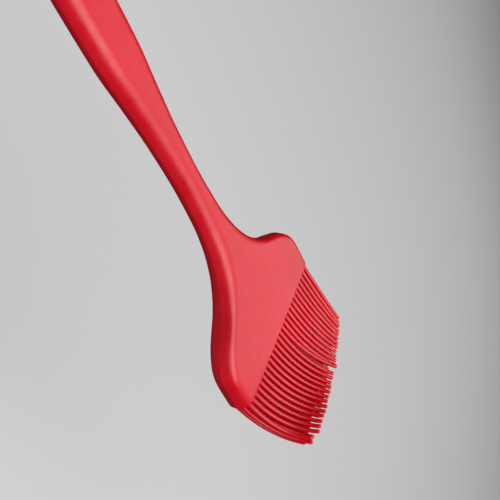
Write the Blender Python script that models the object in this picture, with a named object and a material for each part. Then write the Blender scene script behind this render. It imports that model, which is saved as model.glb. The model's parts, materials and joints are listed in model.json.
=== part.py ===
"""One-piece silicone pastry brush: a fishtail head on a slim handle, with three rows of round bristles.

The brush lies on its back. X runs across the head, Y along the brush towards the end of the handle,
and Z is up, out of the front face. The design's own zero is the middle of the head's end face, where
the bristles start. The empty "brush_frame" then puts the middle of the whole brush over the origin,
with the back face on Z = 0. Lengths are in metres.
"""

import math

import bmesh
import bpy
from mathutils import Vector

MM = 0.001

# ---- driving dimensions ----
BODY_LENGTH = 190.0 * MM  # from the head's end face to the end of the handle
END_CAP_LENGTH = 9.0 * MM  # rounded end of the handle, seen from the front
END_EDGE_LENGTH = 3.5 * MM  # rounded end of the handle, seen from the side
HOLE_RADIUS = 3.8 * MM
HOLE_TO_END = 10.0 * MM
HOLE_SIDES = 28
HOLE_CUTTER_LENGTH = 20.0 * MM
BODY_CORNER_STEPS = 4  # facets round each corner of the body's section
WALL_SLOPE = math.radians(16)  # of the sides, which lean in from the parting line round the edge
# Rings of the body along its length, close together at the shoulders, then round the end of the handle.
BODY_PLACES_MM = [0, 4, 8, 11, 13, 15, 16.6, 18.2, 20, 22, 24.5, 27.5, 31, 35, 40, 46, 53, 61, 70, 79]
BODY_PLACES_MM += [88, 96, 105, 120, 140, 160, 175, 181]
END_CAP_DEGREES = [20, 38, 54, 67, 77, 85]

BRISTLE_ROOT_RADIUS = 0.70 * MM
BRISTLE_TIP_RADIUS = 0.63 * MM
BRISTLE_BLUNT_RADIUS = 0.42 * MM  # the flat left at the very tip
BRISTLE_BLUNT_SHARE = 0.12  # of the last segment, taken up by the blunting
BRISTLE_PITCH = 2.2 * MM
BRISTLE_SEGMENTS = 8
COMB_COLUMNS = [4, 4, 4, 3, 4, 4, 4]  # bristles in each comb, from -X to +X
BRISTLE_COLUMNS = sum(COMB_COLUMNS)
ROW_OFFSET = 2.5 * MM  # between two rows, through the head's thickness

BEAD_RADIUS = 0.78 * MM  # round root that carries one comb of bristles, centred on its flexing axis
BEAD_SIDES = 12
BEAD_END_GAP = 0.15 * MM  # each end of a bead stops this far inside its share of the row
BEAD_OVERHANG = 0.30 * MM  # the outermost beads end this far past their last bristle's centre
RUNNING_GAP = 0.20 * MM  # between a bead and its groove in the head
GROOVE_SIDES = 16
GROOVE_END_DEGREES = [25, 50, 75]  # the grooves have round ends, to stay clear of the head's sides

CORE_SHARE = 0.55  # of the body's width
CORE_START = 3.0 * MM
CORE_END_TO_HOLE = 6.0 * MM
CORE_GAP = 0.3 * MM
CORE_CORNER = 0.8 * MM
CORE_QUARTER_STEPS = 2
CORE_STEPS = 26
CORE_CROWDING = 1.4  # more than 1 brings the core's rings closer together in the head
WINDOW_HALF_WIDTH = 9.0 * MM  # where the core's pocket opens into the middle groove
WINDOW_INSET = 0.5 * MM  # the window is this much thinner than the core, on each side
WINDOW_CORNER = 0.4 * MM
WINDOW_START = 0.3 * MM

# Half the width of the body at distances from the head's end face: straight-sided head, rounded
# shoulders, concave sweep into the neck, and a grip that swells again.
HALF_WIDTHS = [
    (0.0 * MM, 31.0 * MM),
    (8.0 * MM, 30.8 * MM),
    (11.0 * MM, 30.4 * MM),
    (13.2 * MM, 29.6 * MM),
    (15.4 * MM, 28.1 * MM),
    (17.8 * MM, 25.8 * MM),
    (20.2 * MM, 22.5 * MM),
    (23.1 * MM, 18.0 * MM),
    (27.0 * MM, 13.7 * MM),
    (32.7 * MM, 9.7 * MM),
    (40.4 * MM, 6.8 * MM),
    (50.0 * MM, 5.2 * MM),
    (61.6 * MM, 4.6 * MM),
    (75.0 * MM, 5.2 * MM),
    (88.6 * MM, 6.6 * MM),
    (102.0 * MM, 8.2 * MM),
    (120.0 * MM, 8.6 * MM),
    (165.0 * MM, 8.7 * MM),
    (190.0 * MM, 8.7 * MM),
]
HALF_THICKNESSES = [
    (0.0 * MM, 4.2 * MM),
    (20.0 * MM, 4.2 * MM),
    (60.0 * MM, 3.9 * MM),
    (95.0 * MM, 4.2 * MM),
    (190.0 * MM, 4.2 * MM),
]
# The share of the half-thickness that is a straight wall, above and below the parting line.
WALL_SHARES = [
    (0.0 * MM, 0.42),
    (20.0 * MM, 0.42),
    (45.0 * MM, 0.10),
]
# How far the side rounding reaches in from the edge, and the most of the half-width it may take.
EDGE_WIDTHS = [
    (0.0 * MM, 3.8 * MM),
    (16.0 * MM, 4.0 * MM),
    (45.0 * MM, 5.2 * MM),
    (190.0 * MM, 5.2 * MM),
]
MOST_EDGE_SHARE = 0.92
CORE_HALF_THICKNESSES = [
    (0.0 * MM, 1.2 * MM),
    (18.0 * MM, 1.2 * MM),
    (45.0 * MM, 2.0 * MM),
    (190.0 * MM, 2.0 * MM),
]

# Each row's place through the thickness and across the head, its bristles' length, and its share of the
# sweep towards the front. The middle row is staggered a little. The rows behind are longer, so that the
# curled tips end nearer to one line.
ROWS = {
    "front": {"z": ROW_OFFSET, "shift": 0.0, "length": 26.4 * MM, "sweep": 1.0},
    "middle": {"z": 0.0, "shift": -0.45 * MM, "length": 27.8 * MM, "sweep": 0.86},
    "back": {"z": -ROW_OFFSET, "shift": 0.0, "length": 28.4 * MM, "sweep": 0.75},
}
# The set that the bristles have taken: they leave the head leaning forwards a little and curl on
# towards the front, the most at the -X corner. They also draw together a little, to the middle.
ROOT_LEAN = math.radians(10.1)
TIP_LEAN_MIDDLE = math.radians(55.9)
TIP_LEAN_CHANGE = math.radians(-42.0)  # from the middle to the +X corner
LEAN_POWER = 1.7  # how late along the bristle the curl comes
CORNER_DRAW = math.radians(4.5)  # sideways lean of the outermost bristles, towards the middle

RED_SILICONE = (0.55, 0.012, 0.018, 1.0)
NYLON = (0.62, 0.60, 0.55, 1.0)


def smooth_value(stations, at):
    """A monotone cubic curve through (place, value) stations, level where the values turn round."""
    places = [place for place, _ in stations]
    values = [value for _, value in stations]
    if at <= places[0]:
        return values[0]
    if at >= places[-1]:
        return values[-1]
    slopes = [(values[i + 1] - values[i]) / (places[i + 1] - places[i]) for i in range(len(values) - 1)]
    tangents = [slopes[0]]
    for before, after in zip(slopes, slopes[1:]):
        tangents.append(2 * before * after / (before + after) if before * after > 0 else 0.0)
    tangents.append(slopes[-1])
    i = max(k for k in range(len(places) - 1) if places[k] <= at)
    step = places[i + 1] - places[i]
    t = (at - places[i]) / step
    return (
        values[i] * (2 * t**3 - 3 * t**2 + 1)
        + tangents[i] * step * (t**3 - 2 * t**2 + t)
        + values[i + 1] * (3 * t**2 - 2 * t**3)
        + tangents[i + 1] * step * (t**3 - t**2)
    )


def clear_scene():
    for obj in list(bpy.data.objects):
        bpy.data.objects.remove(obj)


def new_collection(name):
    collection = bpy.data.collections.new(name)
    bpy.context.scene.collection.children.link(collection)
    return collection


def new_material(name, colour, roughness):
    material = bpy.data.materials.new(name)
    material.use_nodes = True
    shader = material.node_tree.nodes["Principled BSDF"]
    shader.inputs["Base Color"].default_value = colour
    shader.inputs["Roughness"].default_value = roughness
    shader.inputs["Metallic"].default_value = 0.0
    material.diffuse_color = colour
    return material


def add_mesh_object(name, mesh, collection, frame):
    obj = bpy.data.objects.new(name, mesh)
    collection.objects.link(obj)
    obj.parent = frame
    return obj


def make_cutter(obj):
    obj.hide_render = True
    obj.display_type = "WIRE"


def add_boolean(obj, other, operation):
    modifier = obj.modifiers.new(f"{operation.lower()}_{other.name}", "BOOLEAN")
    modifier.object = other
    modifier.operation = operation


def body_section(half_width, half_thickness, edge_width, wall_share):
    """Points (x, z) round the body: sloped walls that meet in a ridge, round corners, flat faces."""
    slope = math.tan(WALL_SLOPE)
    wall_top = Vector((half_width - wall_share * half_thickness * slope, wall_share * half_thickness))
    corner = Vector((half_width - half_thickness * slope, half_thickness))
    flat_edge = Vector((half_width - edge_width, half_thickness))
    quarter = [(half_width, 0.0)]
    for step in range(BODY_CORNER_STEPS + 1):
        t = step / BODY_CORNER_STEPS
        quarter.append(tuple((1 - t) ** 2 * wall_top + 2 * t * (1 - t) * corner + t * t * flat_edge))
    upper = quarter + [(-x, z) for x, z in reversed(quarter)]
    return upper + [(x, -z) for x, z in reversed(upper[1:-1])]


def rounded_section(half_width, half_thickness, edge_width, quarter_steps):
    """Points (x, z) round a flat bar whose two sides are rounded by half-ellipses."""
    points = []
    for sign_x, sign_z in ((1, 1), (-1, 1), (-1, -1), (1, -1)):
        angles = [math.pi / 2 * step / quarter_steps for step in range(quarter_steps + 1)]
        if sign_x * sign_z < 0:
            angles.reverse()
        for angle in angles:
            x = half_width - edge_width + edge_width * math.cos(angle)
            points.append((sign_x * x, sign_z * half_thickness * math.sin(angle)))
    # The quarters share their side points, so each shared one is dropped once.
    return [p for i, p in enumerate(points) if math.dist(p, points[i - 1]) > 1e-7]


def loft(name, rings):
    """One closed skin through rings of points, with a flat cap at each end."""
    bm = bmesh.new()
    ring_verts = [[bm.verts.new(point) for point in ring] for ring in rings]
    count = len(rings[0])
    for lower, upper in zip(ring_verts, ring_verts[1:]):
        for i in range(count):
            j = (i + 1) % count
            bm.faces.new((lower[i], lower[j], upper[j], upper[i]))
    bm.faces.new(ring_verts[0])
    bm.faces.new(reversed(ring_verts[-1]))
    bmesh.ops.recalc_face_normals(bm, faces=bm.faces)
    mesh = bpy.data.meshes.new(name)
    bm.to_mesh(mesh)
    bm.free()
    return mesh


def cylinder_mesh(name, radius, length, sides):
    """A closed cylinder along Z, centred on its own origin."""
    bm = bmesh.new()
    bmesh.ops.create_cone(
        bm, cap_ends=True, segments=sides, radius1=radius, radius2=radius, depth=length
    )
    mesh = bpy.data.meshes.new(name)
    bm.to_mesh(mesh)
    bm.free()
    return mesh


def rod_mesh(name, sides, stations):
    """A closed round rod along X, through (x, radius) stations."""
    turns = [2 * math.pi * (i + 0.5) / sides for i in range(sides)]
    rings = [[(x, r * math.cos(turn), r * math.sin(turn)) for turn in turns] for x, r in stations]
    return loft(name, rings)


def shade_round(mesh):
    mesh.shade_smooth()
    mesh.set_sharp_from_angle(angle=math.radians(40))


# ---- handle and head ----
def body_stations():
    """Places along the body for its rings."""
    stations = [place * MM for place in BODY_PLACES_MM]
    cap_start = BODY_LENGTH - END_CAP_LENGTH
    for angle in END_CAP_DEGREES:
        stations.append(cap_start + END_CAP_LENGTH * math.sin(math.radians(angle)))
    return stations


def end_rounding(y, length):
    """1 along the body, falling along a quarter circle to 0 at the end of the handle."""
    past = (y - (BODY_LENGTH - length)) / length
    return math.sqrt(max(0.0, 1 - past * past)) if past > 0 else 1.0


def body_ring(y):
    half_width = smooth_value(HALF_WIDTHS, y) * end_rounding(y, END_CAP_LENGTH)
    half_thickness = smooth_value(HALF_THICKNESSES, y) * end_rounding(y, END_EDGE_LENGTH)
    edge_width = min(smooth_value(EDGE_WIDTHS, y), MOST_EDGE_SHARE * half_width)
    wall_share = smooth_value(WALL_SHARES, y)
    section = body_section(half_width, half_thickness, edge_width, wall_share)
    return [(x, y, z) for x, z in section]


def core_ring(y, margin):
    half_width = CORE_SHARE * smooth_value(HALF_WIDTHS, y) + margin
    half_thickness = smooth_value(CORE_HALF_THICKNESSES, y) + margin
    section = rounded_section(half_width, half_thickness, CORE_CORNER, CORE_QUARTER_STEPS)
    return [(x, y, z) for x, z in section]


def core_mesh(name, start, end, margin):
    shares = [(step / CORE_STEPS) ** CORE_CROWDING for step in range(CORE_STEPS + 1)]
    return loft(name, [core_ring(start + (end - start) * share, margin) for share in shares])


def window_mesh(name):
    """The short passage from the core's pocket into the middle groove."""
    half_thickness = smooth_value(CORE_HALF_THICKNESSES, 0) - WINDOW_INSET
    section = rounded_section(WINDOW_HALF_WIDTH, half_thickness, WINDOW_CORNER, CORE_QUARTER_STEPS)
    return loft(name, [[(x, y, z) for x, z in section] for y in (WINDOW_START, CORE_START)])


def groove_mesh(name):
    """The space that a row of beads turns in, with round ends about the outermost bristles."""
    radius = BEAD_RADIUS + RUNNING_GAP
    last = column_x(BRISTLE_COLUMNS - 1)
    ends = [math.radians(angle) for angle in GROOVE_END_DEGREES]
    stations = [(last, radius)]
    stations += [(last + radius * math.sin(angle), radius * math.cos(angle)) for angle in ends]
    return rod_mesh(name, GROOVE_SIDES, [(-x, r) for x, r in reversed(stations)] + stations)


def build_body(parts, cutters, frame, silicone):
    skin = loft("silicone_body", [body_ring(y) for y in body_stations()])
    body = add_mesh_object("silicone_body", skin, parts, frame)
    body.data.materials.append(silicone)

    hole_mesh = cylinder_mesh("hanging_hole_cutter", HOLE_RADIUS, HOLE_CUTTER_LENGTH, HOLE_SIDES)
    hole = add_mesh_object("hanging_hole_cutter", hole_mesh, cutters, frame)
    hole.location = (0, BODY_LENGTH - HOLE_TO_END, 0)
    pocket_mesh = core_mesh("core_pocket_cutter", CORE_START - CORE_GAP, core_end() + CORE_GAP, CORE_GAP)
    pocket = add_mesh_object("core_pocket_cutter", pocket_mesh, cutters, frame)
    window = add_mesh_object("core_window_cutter", window_mesh("core_window_cutter"), cutters, frame)
    grooves = []
    for row_name, row in ROWS.items():
        name = f"groove_{row_name}_cutter"
        groove = add_mesh_object(name, groove_mesh(name), cutters, frame)
        groove.location = (row["shift"], 0, row["z"])
        grooves.append(groove)

    for cutter in (hole, pocket, window, *grooves):
        make_cutter(cutter)
        add_boolean(body, cutter, "DIFFERENCE")
    shade_round(body.data)


# ---- stiffener ----
def core_end():
    return BODY_LENGTH - HOLE_TO_END - HOLE_RADIUS - CORE_END_TO_HOLE


def build_core(parts, frame, nylon):
    mesh = core_mesh("stiffener_core", CORE_START, core_end(), 0.0)
    core = add_mesh_object("stiffener_core", mesh, parts, frame)
    core.data.materials.append(nylon)
    shade_round(core.data)


# ---- bristles ----
def column_x(column):
    return (column - (BRISTLE_COLUMNS - 1) / 2) * BRISTLE_PITCH


def bristle_points(column, row):
    """The centre line of one bristle, from its root on the flexing axis to its tip."""
    across = column_x(column) / column_x(BRISTLE_COLUMNS - 1)
    tip_lean = TIP_LEAN_MIDDLE + TIP_LEAN_CHANGE * across
    draw = -CORNER_DRAW * across
    outwards = Vector((math.sin(draw), -math.cos(draw), 0))
    point = Vector((column_x(column), 0, 0))
    points = [point.copy()]
    step = row["length"] / BRISTLE_SEGMENTS
    for segment in range(BRISTLE_SEGMENTS):
        along = (segment + 0.5) / BRISTLE_SEGMENTS
        lean = ROOT_LEAN + row["sweep"] * (tip_lean - ROOT_LEAN) * along**LEAN_POWER
        point = point + step * (math.sin(lean) * Vector((0, 0, 1)) + math.cos(lean) * outwards)
        points.append(point.copy())
    return points


def bristles_reach():
    """How far the longest bristle reaches beyond the head's end face."""
    return max(-bristle_points(c, row)[-1].y for row in ROWS.values() for c in range(BRISTLE_COLUMNS))


def bristle_curve(name, columns, row):
    """All the bristles of one comb, as round strokes that taper a little and end blunt."""
    curve = bpy.data.curves.new(name, "CURVE")
    curve.dimensions = "3D"
    curve.bevel_depth = 1.0
    curve.bevel_resolution = 1
    curve.use_fill_caps = True
    for column in columns:
        points = bristle_points(column, row)
        points.insert(-1, points[-1].lerp(points[-2], BRISTLE_BLUNT_SHARE))
        spline = curve.splines.new("POLY")
        spline.points.add(len(points) - 1)
        for i, point in enumerate(points):
            share = i / (len(points) - 1)
            radius = BRISTLE_ROOT_RADIUS + (BRISTLE_TIP_RADIUS - BRISTLE_ROOT_RADIUS) * share
            spline.points[i].co = (*point, 1.0)
            spline.points[i].radius = radius if i < len(points) - 1 else BRISTLE_BLUNT_RADIUS
    return curve


def curve_as_mesh_object(name, curve, collection, frame):
    """The curve's solid as a mesh object, with the caps welded on."""
    drawn = bpy.data.objects.new(name + "_curve", curve)
    collection.objects.link(drawn)
    graph = bpy.context.evaluated_depsgraph_get()
    mesh = bpy.data.meshes.new_from_object(drawn.evaluated_get(graph))
    bpy.data.objects.remove(drawn)
    bm = bmesh.new()
    bm.from_mesh(mesh)
    bmesh.ops.remove_doubles(bm, verts=bm.verts, dist=1e-6)
    bmesh.ops.recalc_face_normals(bm, faces=bm.faces)
    bm.to_mesh(mesh)
    bm.free()
    return add_mesh_object(name, mesh, collection, frame)


def bead_mesh(name, columns):
    """The round root of one comb, from halfway to the comb before to halfway to the comb after."""
    limit = column_x(BRISTLE_COLUMNS - 1) + BEAD_OVERHANG
    reach = BRISTLE_PITCH / 2 - BEAD_END_GAP
    start = max(column_x(columns[0]) - reach, -limit)
    end = min(column_x(columns[-1]) + reach, limit)
    return rod_mesh(name, BEAD_SIDES, [(start, BEAD_RADIUS), (end, BEAD_RADIUS)])


def build_comb(name, columns, row, parts, cutters, frame, silicone):
    """One comb: a round bead on the flexing axis with its bristles, the object's origin on that axis."""
    comb = add_mesh_object(name, bead_mesh(name, columns), parts, frame)
    comb.location = (row["shift"], 0, row["z"])
    comb.data.materials.append(silicone)

    curve = bristle_curve(name + "_strokes", columns, row)
    strokes = curve_as_mesh_object(name + "_strokes", curve, cutters, frame)
    strokes.location = comb.location
    make_cutter(strokes)
    add_boolean(comb, strokes, "UNION")
    shade_round(comb.data)


def build_bristles(parts, cutters, frame, silicone):
    for row_name, row in ROWS.items():
        first = 0
        for comb, count in enumerate(COMB_COLUMNS, start=1):
            columns = range(first, first + count)
            build_comb(f"bristles_{row_name}_{comb}", columns, row, parts, cutters, frame, silicone)
            first += count


def main():
    clear_scene()
    parts = new_collection("pastry_brush")
    cutters = new_collection("cutters")
    frame = bpy.data.objects.new("brush_frame", None)
    parts.objects.link(frame)
    middle = (BODY_LENGTH - bristles_reach()) / 2
    frame.location = (0, -middle, smooth_value(HALF_THICKNESSES, 0))

    silicone = new_material("red_silicone", RED_SILICONE, 0.5)
    nylon = new_material("natural_nylon", NYLON, 0.45)
    build_body(parts, cutters, frame, silicone)
    build_core(parts, frame, nylon)
    build_bristles(parts, cutters, frame, silicone)


main()
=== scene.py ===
"""Looks of the one-piece silicone pastry brush: the moulded skin, its bristles and the hidden core.

Everything is in metres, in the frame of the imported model: the brush lies on its back, Y runs along it
towards the end of the handle, X across the head and Z up, out of the front face.
"""

import json
import math
import random

import bmesh
import bpy
from mathutils import Matrix, Vector


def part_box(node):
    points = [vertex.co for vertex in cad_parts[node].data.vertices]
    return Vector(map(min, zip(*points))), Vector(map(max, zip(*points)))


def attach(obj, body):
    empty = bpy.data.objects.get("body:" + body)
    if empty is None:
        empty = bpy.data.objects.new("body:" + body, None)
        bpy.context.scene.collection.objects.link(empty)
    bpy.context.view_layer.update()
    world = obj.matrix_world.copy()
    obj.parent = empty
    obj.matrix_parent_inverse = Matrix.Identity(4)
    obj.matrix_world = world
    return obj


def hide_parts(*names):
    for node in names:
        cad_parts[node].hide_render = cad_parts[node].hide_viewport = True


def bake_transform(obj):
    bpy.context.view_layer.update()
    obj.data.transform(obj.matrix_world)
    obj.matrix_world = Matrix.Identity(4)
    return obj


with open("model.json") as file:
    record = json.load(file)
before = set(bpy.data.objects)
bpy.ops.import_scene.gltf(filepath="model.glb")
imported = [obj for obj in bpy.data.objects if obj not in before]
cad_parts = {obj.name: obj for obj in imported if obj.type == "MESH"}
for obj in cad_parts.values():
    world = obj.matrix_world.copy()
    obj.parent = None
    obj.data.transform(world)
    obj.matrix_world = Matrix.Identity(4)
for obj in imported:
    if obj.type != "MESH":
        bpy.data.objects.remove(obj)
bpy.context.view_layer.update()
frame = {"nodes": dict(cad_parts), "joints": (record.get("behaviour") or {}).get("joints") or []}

MM = 0.001
SEED = 7

# ---- moulded skin ----
END_CAP_LENGTH = 9.0 * MM  # rounded end of the handle, seen from the front
END_EDGE_LENGTH = 3.5 * MM  # rounded end of the handle, seen from the side
END_CAP_RINGS = 14
RING_SPACING = 1.5 * MM
SIDE_STEPS = 10  # round each quarter of the section
TOP_STEPS = 6  # across each half of the flat face
WALL_STEPS = 4  # up each sloped wall
WALL_SLOPE = math.radians(16)  # of the sides, which lean in from the parting line
END_FACE_FILLET = 0.30 * MM
FILLET_STEPS = 4
HOLE_RADIUS = 3.8 * MM
HOLE_TO_END = 10.0 * MM
HOLE_FLARE = 1.1 * MM
HOLE_SIDES = 64
HOLE_FLARE_DEGREES = range(5, 91, 17)  # rings round each flared edge of the hole
CUTTER_OVERHANG = 0.6 * MM  # how far the cutter stands out of each face
LAST_CAP_DEGREES = 88  # short of 90, so that the end of the handle has a small flat
SHARP_EDGE = math.radians(24)  # edges steeper than this are shaded sharp

# Half the width at distances from the head's end face, in mm: straight-sided head, rounded shoulders,
# concave sweep into the neck, and a grip that swells again. As far as 88.6 mm these are the rounded
# results of a fit to the outline in the photo; the last four are chosen. The same table is in part.py.
HALF_WIDTHS = [(0, 31.0), (8, 30.8), (11, 30.4), (13.2, 29.6), (15.4, 28.1), (17.8, 25.8), (20.2, 22.5)]
HALF_WIDTHS += [(23.1, 18.0), (27, 13.7), (32.7, 9.7), (40.4, 6.8), (50, 5.2), (61.6, 4.6), (75, 5.2)]
HALF_WIDTHS += [(88.6, 6.6), (102, 8.2), (120, 8.6), (165, 8.7), (190, 8.7)]
HALF_THICKNESSES = [(0, 4.2), (20, 4.2), (60, 3.9), (95, 4.2), (190, 4.2)]
# The straight stretch of each wall, as a share of the half-thickness.
WALL_SHARES = [(0, 0.42), (20, 0.42), (45, 0.10)]
EDGE_WIDTHS = [(0, 3.8), (16, 4.0), (45, 5.2), (190, 5.2)]  # how far the side rounding reaches in
MOST_EDGE_SHARE = 0.92  # of the half-width

# ---- bristles ----
# The dimensions of part.py. Pitch, thickness, lean, curl and lengths come from a fit to the photo.
BRISTLE_ROOT_RADIUS = 0.70 * MM
BRISTLE_TIP_RADIUS = 0.63 * MM
BRISTLE_PITCH = 2.2 * MM
COMB_COLUMNS = [4, 4, 4, 3, 4, 4, 4]
BRISTLE_COLUMNS = sum(COMB_COLUMNS)
ROWS = {
    "front": {"length": 26.4 * MM, "sweep": 1.0},
    "middle": {"length": 27.8 * MM, "sweep": 0.86},
    "back": {"length": 28.4 * MM, "sweep": 0.75},
}
ROOT_LEAN = math.radians(10.1)
TIP_LEAN_MIDDLE = math.radians(55.9)
TIP_LEAN_CHANGE = math.radians(-42.0)
LEAN_POWER = 1.7
CORNER_DRAW = math.radians(4.5)
BRISTLE_STEPS = 26
BRISTLE_SIDES = 14
ROOT_FILLET = 0.22 * MM
ROOT_FILLET_LENGTH = 0.7 * MM
ROOT_DEPTH = 0.4 * MM  # how far a bristle starts inside the head
TIP_ROUNDING = 0.30 * MM
TIP_RING_DEGREES = (0, 30, 55, 75)  # rings round the tip
LEAN_SPREAD = 0.8  # degrees by which two bristles differ at their tips
DRAW_SPREAD = 0.7  # the same, sideways
SHORTEST_SHARE = 0.988  # of the full length
# Two bristles are out of line: extra lean and draw at the tip in degrees, and share of the length.
OUT_OF_LINE = {("front", 0): (0.0, -11.0, 0.93), ("front", 14): (4.0, 4.5, 1.0)}


def column_x(column):
    return (column - (BRISTLE_COLUMNS - 1) / 2) * BRISTLE_PITCH


# ---- where the CAD body lies ----
body_low, body_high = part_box("silicone_body")
ROOT_Y = body_low.y
END_Y = body_high.y
MIDDLE_Z = (body_low.z + body_high.z) / 2


def smooth_value(stations, at):
    """A monotone cubic curve through (place, value) stations."""
    places = [place for place, _ in stations]
    values = [value for _, value in stations]
    if at <= places[0]:
        return values[0]
    if at >= places[-1]:
        return values[-1]
    pairs = zip(stations, stations[1:])
    slopes = [(after[1] - before[1]) / (after[0] - before[0]) for before, after in pairs]
    tangents = [slopes[0]]
    for before, after in zip(slopes, slopes[1:]):
        tangents.append(2 * before * after / (before + after) if before * after > 0 else 0.0)
    tangents.append(slopes[-1])
    i = max(k for k in range(len(places) - 1) if places[k] <= at)
    step = places[i + 1] - places[i]
    t = (at - places[i]) / step
    return (
        values[i] * (2 * t**3 - 3 * t**2 + 1)
        + tangents[i] * step * (t**3 - 2 * t**2 + t)
        + values[i + 1] * (3 * t**2 - 2 * t**3)
        + tangents[i + 1] * step * (t**3 - t**2)
    )


# ---- small helpers ----
def add_object(name, mesh):
    obj = bpy.data.objects.new(name, mesh)
    bpy.context.scene.collection.objects.link(obj)
    return obj


def mesh_from(name, bm):
    bmesh.ops.recalc_face_normals(bm, faces=bm.faces)
    mesh = bpy.data.meshes.new(name)
    bm.to_mesh(mesh)
    bm.free()
    return mesh


def loft(bm, rings):
    """Join the rings into a closed solid."""
    ring_verts = [[bm.verts.new(point) for point in ring] for ring in rings]
    count = len(rings[0])
    for lower, upper in zip(ring_verts, ring_verts[1:]):
        for i in range(count):
            j = (i + 1) % count
            bm.faces.new((lower[i], lower[j], upper[j], upper[i]))
    bm.faces.new(ring_verts[0])
    bm.faces.new(reversed(ring_verts[-1]))


# ---- skin ----
def end_rounding(y, length):
    past = (y - (END_Y - length)) / length
    return math.sqrt(max(0.0, 1 - past * past)) if past > 0 else 1.0


def skin_section(half_width, half_thickness, edge_width, wall_share):
    """Points (x, z) round the section: sloped walls that meet in a ridge, round corners, flat faces."""
    slope = math.tan(WALL_SLOPE)
    wall_top = Vector((half_width - wall_share * half_thickness * slope, wall_share * half_thickness))
    corner = Vector((half_width - half_thickness * slope, half_thickness))
    flat_edge = Vector((half_width - edge_width, half_thickness))
    foot = Vector((half_width, 0.0))
    quarter = [foot.lerp(wall_top, step / WALL_STEPS) for step in range(WALL_STEPS)]
    for step in range(SIDE_STEPS + 1):
        t = step / SIDE_STEPS
        quarter.append((1 - t) ** 2 * wall_top + 2 * t * (1 - t) * corner + t * t * flat_edge)
    quarter = [(point.x, point.y) for point in quarter]
    flat = half_width - edge_width
    quarter += [(flat * (1 - step / TOP_STEPS), half_thickness) for step in range(1, TOP_STEPS + 1)]
    points = list(quarter)
    points += [(-x, z) for x, z in reversed(quarter[:-1])]
    points += [(-x, -z) for x, z in quarter[1:]]
    points += [(x, -z) for x, z in reversed(quarter[1:-1])]
    return points


def body_value(stations, y):
    """A driving dimension of the body at y, in metres."""
    return smooth_value(stations, (y - ROOT_Y) / MM) * MM


def skin_ring(y, inset=0.0):
    half_width = body_value(HALF_WIDTHS, y) * end_rounding(y, END_CAP_LENGTH) - inset
    half_thickness = body_value(HALF_THICKNESSES, y) * end_rounding(y, END_EDGE_LENGTH) - inset
    edge_width = min(body_value(EDGE_WIDTHS, y), MOST_EDGE_SHARE * half_width)
    wall_share = smooth_value(WALL_SHARES, (y - ROOT_Y) / MM)
    section = skin_section(half_width, half_thickness, edge_width, wall_share)
    return [(x, y, MIDDLE_Z + z) for x, z in section]


def skin_places():
    straight = END_Y - END_CAP_LENGTH - ROOT_Y - END_FACE_FILLET
    count = round(straight / RING_SPACING)
    places = [ROOT_Y + END_FACE_FILLET + straight * i / count for i in range(count + 1)]
    for i in range(1, END_CAP_RINGS + 1):
        angle = math.radians(LAST_CAP_DEGREES) * i / END_CAP_RINGS
        places.append(END_Y - END_CAP_LENGTH + END_CAP_LENGTH * math.sin(angle))
    return places


def hole_cutter():
    """A waisted round plug, wider at both faces so that the hole's edges come out rounded."""
    bm = bmesh.new()
    half = body_value(HALF_THICKNESSES, END_Y - HOLE_TO_END)
    centre = Vector((0, END_Y - HOLE_TO_END, MIDDLE_Z))
    rings = []
    heights = [-half - CUTTER_OVERHANG]
    heights += [-half + HOLE_FLARE * (1 - math.cos(math.radians(a))) for a in HOLE_FLARE_DEGREES]
    heights += [-h for h in reversed(heights)]
    for height in heights:
        depth = half - abs(height)  # below the face
        if depth < 0:
            radius = HOLE_RADIUS + HOLE_FLARE
        else:
            u = 1 - min(1.0, depth / HOLE_FLARE)
            radius = HOLE_RADIUS + HOLE_FLARE * (1 - math.sqrt(max(0.0, 1 - u * u)))
        ring = []
        for i in range(HOLE_SIDES):
            turn = 2 * math.pi * (i + 0.5) / HOLE_SIDES
            ring.append(centre + Vector((radius * math.cos(turn), radius * math.sin(turn), height)))
        rings.append(ring)
    loft(bm, rings)
    return add_object("hole_cutter", mesh_from("hole_cutter", bm))


def apply_boolean(obj, cutter):
    modifier = obj.modifiers.new("cut", "BOOLEAN")
    modifier.object = cutter
    modifier.operation = "DIFFERENCE"
    graph = bpy.context.evaluated_depsgraph_get()
    mesh = bpy.data.meshes.new_from_object(obj.evaluated_get(graph))
    obj.modifiers.clear()
    old = obj.data
    obj.data = mesh
    bpy.data.meshes.remove(old)
    bpy.data.objects.remove(cutter)


def build_skin(material):
    rings = []
    for step in range(FILLET_STEPS):
        angle = math.pi / 2 * step / FILLET_STEPS
        y = ROOT_Y + END_FACE_FILLET * (1 - math.cos(angle))
        rings.append(skin_ring(y, END_FACE_FILLET * (1 - math.sin(angle))))
    rings += [skin_ring(y) for y in skin_places()]
    bm = bmesh.new()
    loft(bm, rings)
    skin = add_object("silicone_skin", mesh_from("silicone_skin", bm))
    apply_boolean(skin, hole_cutter())
    skin.data.materials.clear()
    skin.data.materials.append(material)
    skin.data.shade_smooth()
    skin.data.set_sharp_from_angle(angle=SHARP_EDGE)
    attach(skin, "handle")
    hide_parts("silicone_body")


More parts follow.
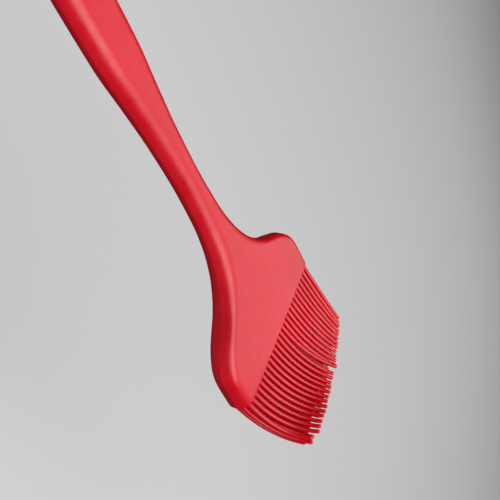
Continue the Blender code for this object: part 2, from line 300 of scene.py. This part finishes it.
# ---- bristle meshes ----
def bristle_path(column, row, shift):
    """The centre line of one bristle and its directions, from just inside the head to its tip."""
    across = column_x(column) / column_x(BRISTLE_COLUMNS - 1)
    lean_shift, draw_shift, length_share = shift
    tip_lean = TIP_LEAN_MIDDLE + TIP_LEAN_CHANGE * across
    point = Vector((column_x(column), 0, 0)) + row_root(row)
    step = ROWS[row]["length"] * length_share / BRISTLE_STEPS
    points = []
    for segment in range(BRISTLE_STEPS):
        along = (segment + 0.5) / BRISTLE_STEPS
        lean = ROOT_LEAN + ROWS[row]["sweep"] * (tip_lean - ROOT_LEAN) * along**LEAN_POWER
        lean += math.radians(lean_shift) * along
        draw = -CORNER_DRAW * across + math.radians(draw_shift) * along
        outwards = Vector((math.sin(draw), -math.cos(draw), 0))
        heading = (math.sin(lean) * Vector((0, 0, 1)) + math.cos(lean) * outwards).normalized()
        if segment == 0:
            points.append((point - heading * ROOT_DEPTH, heading))
        points.append((point.copy(), heading))
        point = point + step * heading
    points.append((point.copy(), heading))
    return points


def row_root(row):
    """The middle of the row's roots, on the flexing axis of its combs."""
    joint = next(j for j in frame["joints"] if j["name"] == f"flex_{row}_1")
    return Vector(joint["pos_m"])


def add_bristle(bm, path):
    total = len(path) - 1
    length = sum((b[0] - a[0]).length for a, b in zip(path[1:], path[2:]))
    rings = []
    travelled = -ROOT_DEPTH
    side = Vector((1, 0, 0))

    def ring(centre, heading, radius):
        x = (side - heading * side.dot(heading)).normalized()
        z = heading.cross(x)
        turns = [2 * math.pi * i / BRISTLE_SIDES for i in range(BRISTLE_SIDES)]
        return [centre + radius * (math.cos(t) * x + math.sin(t) * z) for t in turns]

    for i, (centre, heading) in enumerate(path):
        if i:
            travelled += (centre - path[i - 1][0]).length
        share = max(0.0, travelled) / length
        radius = BRISTLE_ROOT_RADIUS + (BRISTLE_TIP_RADIUS - BRISTLE_ROOT_RADIUS) * share
        if 0 <= travelled < ROOT_FILLET_LENGTH:
            radius += ROOT_FILLET * (1 - travelled / ROOT_FILLET_LENGTH) ** 2
        elif travelled < 0:
            radius += ROOT_FILLET
        if i < total:
            rings.append(ring(centre, heading, radius))
        else:
            base = centre - heading * TIP_ROUNDING
            for angle in TIP_RING_DEGREES:
                a = math.radians(angle)
                reach = TIP_ROUNDING * math.sin(a)
                tip_radius = radius - TIP_ROUNDING * (1 - math.cos(a))
                rings.append(ring(base + heading * reach, heading, tip_radius))
    loft(bm, rings)


def build_combs(material):
    random.seed(SEED)
    for row in ROWS:
        first = 0
        for comb, count in enumerate(COMB_COLUMNS, start=1):
            bm = bmesh.new()
            for column in range(first, first + count):
                shift = (
                    random.uniform(-LEAN_SPREAD, LEAN_SPREAD),
                    random.uniform(-DRAW_SPREAD, DRAW_SPREAD),
                    random.uniform(SHORTEST_SHARE, 1.0),
                )
                shift = OUT_OF_LINE.get((row, column), shift)
                add_bristle(bm, bristle_path(column, row, shift))
            node = f"bristles_{row}_{comb}"
            piece = add_object(f"bristle_strokes_{row}_{comb}", mesh_from(node, bm))
            piece.data.materials.append(material)
            piece.data.shade_smooth()
            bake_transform(piece)
            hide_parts(node)
            first += count


# ---- materials ----
NOISE_LOW = 0.3  # nearly all values of a noise texture lie between these two
NOISE_HIGH = 0.7
REDS = [
    (NOISE_LOW, (0.445, 0.0010, 0.008, 1)),
    (0.5, (0.475, 0.0014, 0.010, 1)),
    (NOISE_HIGH, (0.505, 0.0019, 0.012, 1)),
]
NATURAL_WHITES = [(NOISE_LOW, (0.58, 0.56, 0.50, 1)), (NOISE_HIGH, (0.66, 0.64, 0.59, 1))]
FLOOR_GREY = (0.46, 0.46, 0.46, 1)


def new_material(name):
    material = bpy.data.materials.new(name)
    material.use_nodes = True
    tree = material.node_tree
    return material, tree, tree.nodes["Principled BSDF"]


def noise(tree, coordinates, scale, detail):
    node = tree.nodes.new("ShaderNodeTexNoise")
    node.inputs["Scale"].default_value = scale
    node.inputs["Detail"].default_value = detail
    tree.links.new(coordinates, node.inputs["Vector"])
    return node.outputs["Fac"]


def ramp(tree, value, stops):
    node = tree.nodes.new("ShaderNodeValToRGB")
    node.color_ramp.elements[0].position = stops[0][0]
    node.color_ramp.elements[0].color = stops[0][1]
    node.color_ramp.elements[1].position = stops[-1][0]
    node.color_ramp.elements[1].color = stops[-1][1]
    for place, colour in stops[1:-1]:
        element = node.color_ramp.elements.new(place)
        element.color = colour
    tree.links.new(value, node.inputs["Fac"])
    return node.outputs["Color"]


def spread_noise(tree, value, low, high):
    """A noise texture's values, spread from low to high."""
    node = tree.nodes.new("ShaderNodeMapRange")
    node.inputs["From Min"].default_value = NOISE_LOW
    node.inputs["From Max"].default_value = NOISE_HIGH
    node.inputs["To Min"].default_value = low
    node.inputs["To Max"].default_value = high
    tree.links.new(value, node.inputs["Value"])
    return node.outputs["Result"]


def bump(tree, height, strength, distance, below=None):
    node = tree.nodes.new("ShaderNodeBump")
    node.inputs["Strength"].default_value = strength
    node.inputs["Distance"].default_value = distance
    tree.links.new(height, node.inputs["Height"])
    if below is not None:
        tree.links.new(below, node.inputs["Normal"])
    return node.outputs["Normal"]


def silicone_material():
    material, tree, shader = new_material("red_silicone")
    where = tree.nodes.new("ShaderNodeTexCoord").outputs["Object"]
    cloud = noise(tree, where, scale=45, detail=3)
    grain = noise(tree, where, scale=2600, detail=2)
    wave = noise(tree, where, scale=320, detail=3)
    tree.links.new(ramp(tree, cloud, REDS), shader.inputs["Base Color"])
    tree.links.new(spread_noise(tree, wave, low=0.30, high=0.42), shader.inputs["Roughness"])
    normal = bump(tree, wave, strength=0.10, distance=0.30 * MM)
    normal = bump(tree, grain, strength=0.12, distance=0.12 * MM, below=normal)
    tree.links.new(normal, shader.inputs["Normal"])
    shader.inputs["IOR"].default_value = 1.5
    shader.inputs["Subsurface Weight"].default_value = 0.6
    shader.inputs["Subsurface Scale"].default_value = 0.003
    shader.inputs["Subsurface Radius"].default_value = (1.0, 0.06, 0.06)
    return material


def nylon_material():
    material, tree, shader = new_material("natural_nylon")
    where = tree.nodes.new("ShaderNodeTexCoord").outputs["Object"]
    cloud = noise(tree, where, scale=60, detail=3)
    tree.links.new(ramp(tree, cloud, NATURAL_WHITES), shader.inputs["Base Color"])
    wave = noise(tree, where, scale=500, detail=2)
    tree.links.new(spread_noise(tree, wave, low=0.38, high=0.55), shader.inputs["Roughness"])
    grain = noise(tree, where, scale=1500, detail=2)
    tree.links.new(bump(tree, grain, strength=0.15, distance=0.1 * MM), shader.inputs["Normal"])
    return material


def floor_material():
    material, _, shader = new_material("pale_floor")
    shader.inputs["Base Color"].default_value = FLOOR_GREY
    shader.inputs["Roughness"].default_value = 0.9
    shader.inputs["Specular IOR Level"].default_value = 0.1
    return material


# ---- stage ----
FLOOR_DEPTH = 0.16
FLOOR_HALF_WIDTH = 3.0
WORLD_STRENGTH = 0.21
# The camera's place and direction come from a fit to the outline of the brush in the photo.
CAMERA_FROM_ROOT = Vector((-0.14468, 0.16679, 0.11976))
CAMERA_LOOKS_ALONG = Vector((0.64080, -0.58660, -0.49526))
CAMERA_UP = Vector((0.69843, 0.71326, 0.05887))
CAMERA_LENS = 56.71


def build_floor():
    bm = bmesh.new()
    bmesh.ops.create_grid(bm, x_segments=1, y_segments=1, size=FLOOR_HALF_WIDTH)
    floor = add_object("floor", mesh_from("floor", bm))
    floor.location = (0, 0, -FLOOR_DEPTH)
    floor.visible_glossy = False
    floor.data.materials.append(floor_material())


def camera_axes():
    back = -CAMERA_LOOKS_ALONG.normalized()
    right = CAMERA_UP.cross(back).normalized()
    return right, back.cross(right), back


def build_camera():
    camera = bpy.data.objects.new("camera", bpy.data.cameras.new("camera"))
    bpy.context.scene.collection.objects.link(camera)
    right, up, back = camera_axes()
    camera.matrix_world = Matrix.LocRotScale(
        Vector((0, ROOT_Y, MIDDLE_Z)) + CAMERA_FROM_ROOT, Matrix((right, up, back)).transposed(), None
    )
    camera.data.lens = CAMERA_LENS
    camera.data.clip_start = 0.01
    camera.data.clip_end = 20
    bpy.context.scene.camera = camera


def add_light(name, direction, distance, width, length, power):
    """A soft box that shines at the origin, its length along Y."""
    light = bpy.data.lights.new(name, "AREA")
    light.shape = "RECTANGLE"
    light.size = width
    light.size_y = length
    light.energy = power
    obj = bpy.data.objects.new(name, light)
    bpy.context.scene.collection.objects.link(obj)
    back = direction.normalized()
    right = Vector((0, 1, 0)).cross(back).normalized()
    obj.matrix_world = Matrix.LocRotScale(
        back * distance, Matrix((right, back.cross(right), back)).transposed(), None
    )


def build_lights():
    above = Vector((-0.36, 0.12, 0.86))
    beside = Vector((0.50, -0.50, 0.64))
    add_light("overhead", above, distance=1.0, width=0.94, length=1.6, power=20.5)
    add_light("side_sheen", beside, distance=1.1, width=1.15, length=1.05, power=4.6)
    world = bpy.data.worlds.new("studio")
    world.use_nodes = True
    world.node_tree.nodes["Background"].inputs["Color"].default_value = (1, 1, 1, 1)
    world.node_tree.nodes["Background"].inputs["Strength"].default_value = WORLD_STRENGTH
    world.cycles_visibility.glossy = False
    bpy.context.scene.world = world
    bpy.context.scene.view_settings.view_transform = "Standard"


build_camera()
silicone = silicone_material()
build_skin(silicone)
build_combs(silicone)
core = frame["nodes"]["stiffener_core"]
core.data.materials.clear()
core.data.materials.append(nylon_material())
build_floor()
build_lights()
